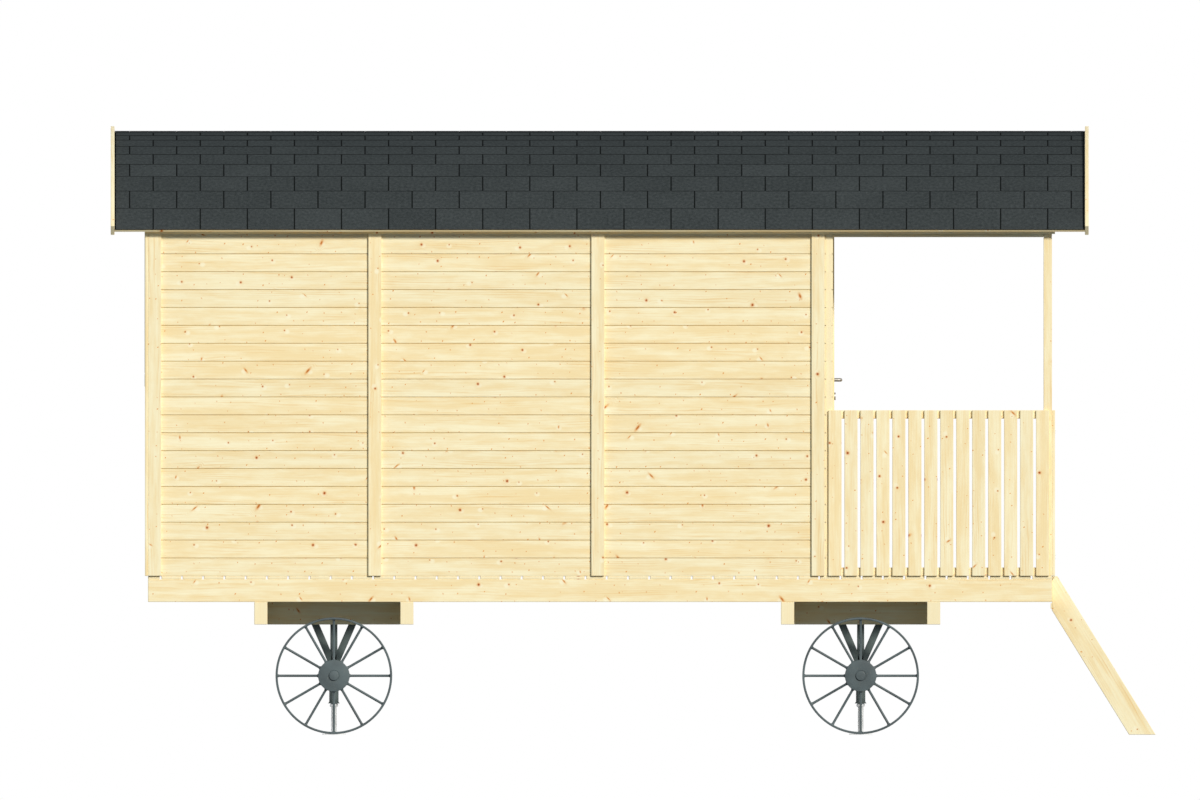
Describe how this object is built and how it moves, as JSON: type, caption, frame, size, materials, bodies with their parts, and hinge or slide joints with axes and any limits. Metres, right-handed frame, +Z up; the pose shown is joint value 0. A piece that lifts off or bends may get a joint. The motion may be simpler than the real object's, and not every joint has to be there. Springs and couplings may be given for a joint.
{
  "type": "shepherds hut",
  "caption": "Timber shepherds hut on spoked iron wheels: boarded cabin under an arched shingle roof, with a railed porch, gate, door and stair.",
  "frame": {"origin": "on the ground, midway along and across the whole hut with its stair", "axes": "+X towards the porch and stair, +Y to the left side, +Z up"},
  "size_m": [5.5484, 2.5314, 3.2312],
  "materials": {
    "deal": "planed spruce",
    "cladding": "planed spruce boards",
    "deck_deal": "planed spruce",
    "shingle": "mineral felt",
    "glass": "clear",
    "wheel_paint": "satin blue grey",
    "stand_paint": "satin dark grey",
    "zinc": "galvanised",
    "satin_steel": "satin"
  },
  "bodies": {
    "hut": {"base_beams": "deal", "base_end_rails": "deal", "base_joists": "deal", "deck_boards": "deck_deal", "axle_beams": "deal", "axle_rails": "deal", "stands": "stand_paint", "jacks": "zinc", "wall_right": "cladding", "wall_left": "cladding", "wall_rear": "cladding", "wall_front_right": "cladding", "wall_front_left": "cladding", "wall_front_top": "cladding", "side_battens": "deal", "rear_corner_boards": "deal", "window_casing": "deal", "window_frame": "deal", "window_glass": "glass", "door_frame": "deal", "door_hinges_fixed": "zinc", "roof_boards": "deal", "roof_shingles": "shingle", "bargeboard_rear": "deal", "bargeboard_front": "deal", "roof_ribs": "deal", "eaves_battens": "deal", "porch_posts": "deal", "porch_beams": "deal", "porch_arch": "deal", "balustrade_left": "deal", "balustrade_right": "deal", "front_panels": "deal", "gate_hinges_fixed": "zinc", "stair_stringers": "deal", "stair_treads": "deal", "stair_cleat": "deal"},
    "door": {"door_leaf": "deal", "door_glass": "glass", "door_hinges_moving": "zinc", "door_roses": "satin_steel"},
    "lever": {"door_lever": "satin_steel"},
    "gate": {"gate": "deal", "gate_hinges_moving": "zinc"},
    "wheel_rear_left": {"wheel_rear_left": "wheel_paint", "hub_rear_left": "wheel_paint"},
    "wheel_rear_right": {"wheel_rear_right": "wheel_paint", "hub_rear_right": "wheel_paint"},
    "wheel_front_left": {"wheel_front_left": "wheel_paint", "hub_front_left": "wheel_paint"},
    "wheel_front_right": {"wheel_front_right": "wheel_paint", "hub_front_right": "wheel_paint"}
  },
  "joints": [
    {"name": "door_hinge", "type": "hinge", "parent": "hut", "child": "door", "pos_m": [1.00679, 0.4225, 1.828], "axis": [0, 0, -1], "range_deg": [0, 100]},
    {"name": "door_lever_turn", "type": "hinge", "parent": "door", "child": "lever", "pos_m": [1.03279, -0.36, 1.884], "axis": [-1, 0, 0], "range_deg": [0, 45], "stiffness_Nm_per_rad": 1.5, "springref_deg": -34.38},
    {"name": "gate_hinge", "type": "hinge", "parent": "hut", "child": "gate", "pos_m": [2.23679, 0.42318, 1.283], "axis": [0, 0, 1], "range_deg": [0, 100]},
    {"name": "wheel_rear_left_turn", "type": "hinge", "parent": "hut", "child": "wheel_rear_left", "pos_m": [-1.58941, 1.115, 0.313], "axis": [0, 1, 0], "continuous": true},
    {"name": "wheel_rear_right_turn", "type": "hinge", "parent": "hut", "child": "wheel_rear_right", "pos_m": [-1.58941, -1.115, 0.313], "axis": [0, 1, 0], "continuous": true},
    {"name": "wheel_front_left_turn", "type": "hinge", "parent": "hut", "child": "wheel_front_left", "pos_m": [1.20779, 1.115, 0.313], "axis": [0, 1, 0], "continuous": true},
    {"name": "wheel_front_right_turn", "type": "hinge", "parent": "hut", "child": "wheel_front_right", "pos_m": [1.20779, -1.115, 0.313], "axis": [0, 1, 0], "continuous": true}
  ]
}
